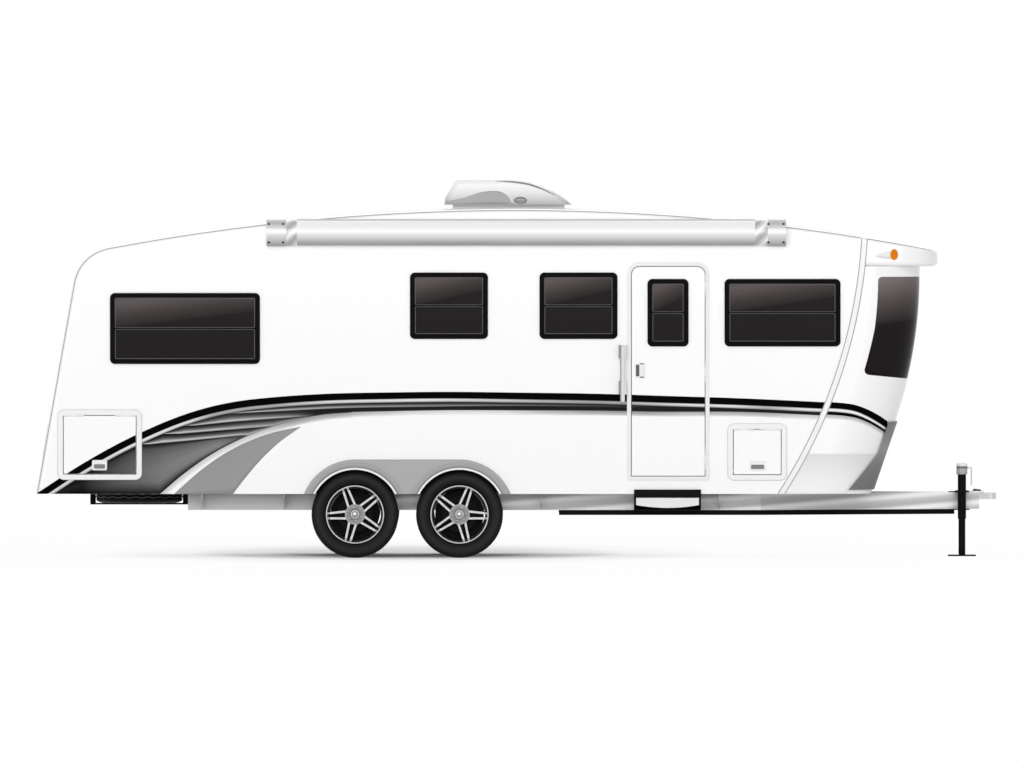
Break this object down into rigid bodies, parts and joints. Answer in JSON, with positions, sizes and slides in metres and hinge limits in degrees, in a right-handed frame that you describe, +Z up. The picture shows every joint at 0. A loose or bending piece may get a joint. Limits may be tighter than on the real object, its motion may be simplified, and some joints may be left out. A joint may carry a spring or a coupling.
{
  "type": "travel caravan",
  "caption": "White travel trailer caravan with a raked rear, wrap-round windscreen, dark windows, side door, awning cassette and tandem wheels, parked on its tongue jack.",
  "frame": {"origin": "centre of the body on the ground under the middle of its length", "axes": "+X forward to the hitch, +Y left, +Z up"},
  "size_m": [8.08, 2.6036, 3.1765],
  "materials": {
    "body_white": "gloss",
    "tinted_glass": "gloss",
    "frame_black": "satin",
    "trim_grey": "satin",
    "fender_grey": "satin",
    "guard_grey": "matte",
    "bright_aluminium": "satin",
    "silver_paint": "satin",
    "black_paint": "satin",
    "zinc_steel": "satin",
    "floor_board": "matte",
    "tyre_rubber": "matte",
    "drum_iron": "matte",
    "amber_lens": "gloss",
    "red_lens": "gloss"
  },
  "bodies": {
    "root": {"wall_right": "body_white", "wall_left": "body_white", "roof": "body_white", "rear_wall": "body_white", "front_cap": "body_white", "brow": "body_white", "awning_case": "body_white", "roof_unit_base": "body_white", "roof_unit_shroud": "body_white", "window_glass": "tinted_glass", "windscreen": "tinted_glass", "window_frames": "frame_black", "step_housing": "frame_black", "coupler_latch": "frame_black", "door_frame": "trim_grey", "hatch_frames": "trim_grey", "grab_handle": "trim_grey", "jack_head": "trim_grey", "fenders": "fender_grey", "rock_guard": "guard_grey", "seam_strips": "bright_aluminium", "awning_ends": "bright_aluminium", "main_rails": "silver_paint", "drawbar_rails": "silver_paint", "drawbar_plates": "silver_paint", "drawbar_lower_rails": "black_paint", "cross_members": "black_paint", "outriggers": "black_paint", "axles": "black_paint", "spare_rim": "black_paint", "wheel_wells": "black_paint", "jack_tube": "black_paint", "coupler": "zinc_steel", "floor": "floor_board", "spare_tyre": "tyre_rubber", "marker_lamps": "amber_lens", "tail_lamps": "red_lens"},
    "wheel_rear_right": {"tyre_rear_right": "tyre_rubber", "rim_rear_right": "bright_aluminium", "drum_rear_right": "drum_iron"},
    "wheel_front_right": {"tyre_front_right": "tyre_rubber", "rim_front_right": "bright_aluminium", "drum_front_right": "drum_iron"},
    "wheel_rear_left": {"tyre_rear_left": "tyre_rubber", "rim_rear_left": "bright_aluminium", "drum_rear_left": "drum_iron"},
    "wheel_front_left": {"tyre_front_left": "tyre_rubber", "rim_front_left": "bright_aluminium", "drum_front_left": "drum_iron"},
    "door": {"door_leaf": "body_white", "door_window_frame": "frame_black", "door_glass": "tinted_glass", "door_latch": "trim_grey"},
    "hatch_rear_right_leaf": {"hatch_rear_right": "body_white"},
    "hatch_rear_left_leaf": {"hatch_rear_left": "body_white"},
    "hatch_front_right_leaf": {"hatch_front_right": "body_white"},
    "hatch_front_left_leaf": {"hatch_front_left": "body_white"},
    "step": {"step_tread": "bright_aluminium"},
    "jack_slide": {"jack_leg": "black_paint"}
  },
  "joints": [
    {"name": "turn_rear_right", "type": "hinge", "parent": "root", "child": "wheel_rear_right", "pos_m": [-1.361, -1.092, 0.365], "axis": [0, 1, 0], "continuous": true},
    {"name": "turn_front_right", "type": "hinge", "parent": "root", "child": "wheel_front_right", "pos_m": [-0.483, -1.092, 0.365], "axis": [0, 1, 0], "continuous": true},
    {"name": "turn_rear_left", "type": "hinge", "parent": "root", "child": "wheel_rear_left", "pos_m": [-1.361, 1.092, 0.365], "axis": [0, 1, 0], "continuous": true},
    {"name": "turn_front_left", "type": "hinge", "parent": "root", "child": "wheel_front_left", "pos_m": [-0.483, 1.092, 0.365], "axis": [0, 1, 0], "continuous": true},
    {"name": "door_swing", "type": "hinge", "parent": "root", "child": "door", "pos_m": [1.58, -1.235, 1.56], "axis": [0, 0, 1], "range_deg": [0, 165]},
    {"name": "lift_rear_right", "type": "hinge", "parent": "root", "child": "hatch_rear_right_leaf", "pos_m": [-3.505, -1.235, 1.198], "axis": [1, 0, 0], "range_deg": [-160, 0]},
    {"name": "lift_rear_left", "type": "hinge", "parent": "root", "child": "hatch_rear_left_leaf", "pos_m": [-3.505, 1.235, 1.198], "axis": [-1, 0, 0], "range_deg": [-160, 0]},
    {"name": "lift_front_right", "type": "hinge", "parent": "root", "child": "hatch_front_right_leaf", "pos_m": [2.018, -1.235, 1.081], "axis": [1, 0, 0], "range_deg": [-160, 0]},
    {"name": "lift_front_left", "type": "hinge", "parent": "root", "child": "hatch_front_left_leaf", "pos_m": [2.018, 1.235, 1.081], "axis": [-1, 0, 0], "range_deg": [-160, 0]},
    {"name": "step_slide", "type": "slide", "parent": "root", "child": "step", "axis": [0, -1, 0], "range_m": [0, 0.25]},
    {"name": "jack_travel", "type": "slide", "parent": "root", "child": "jack_slide", "axis": [0, 0, 1], "range_m": [-0.05, 0.27]}
  ]
}
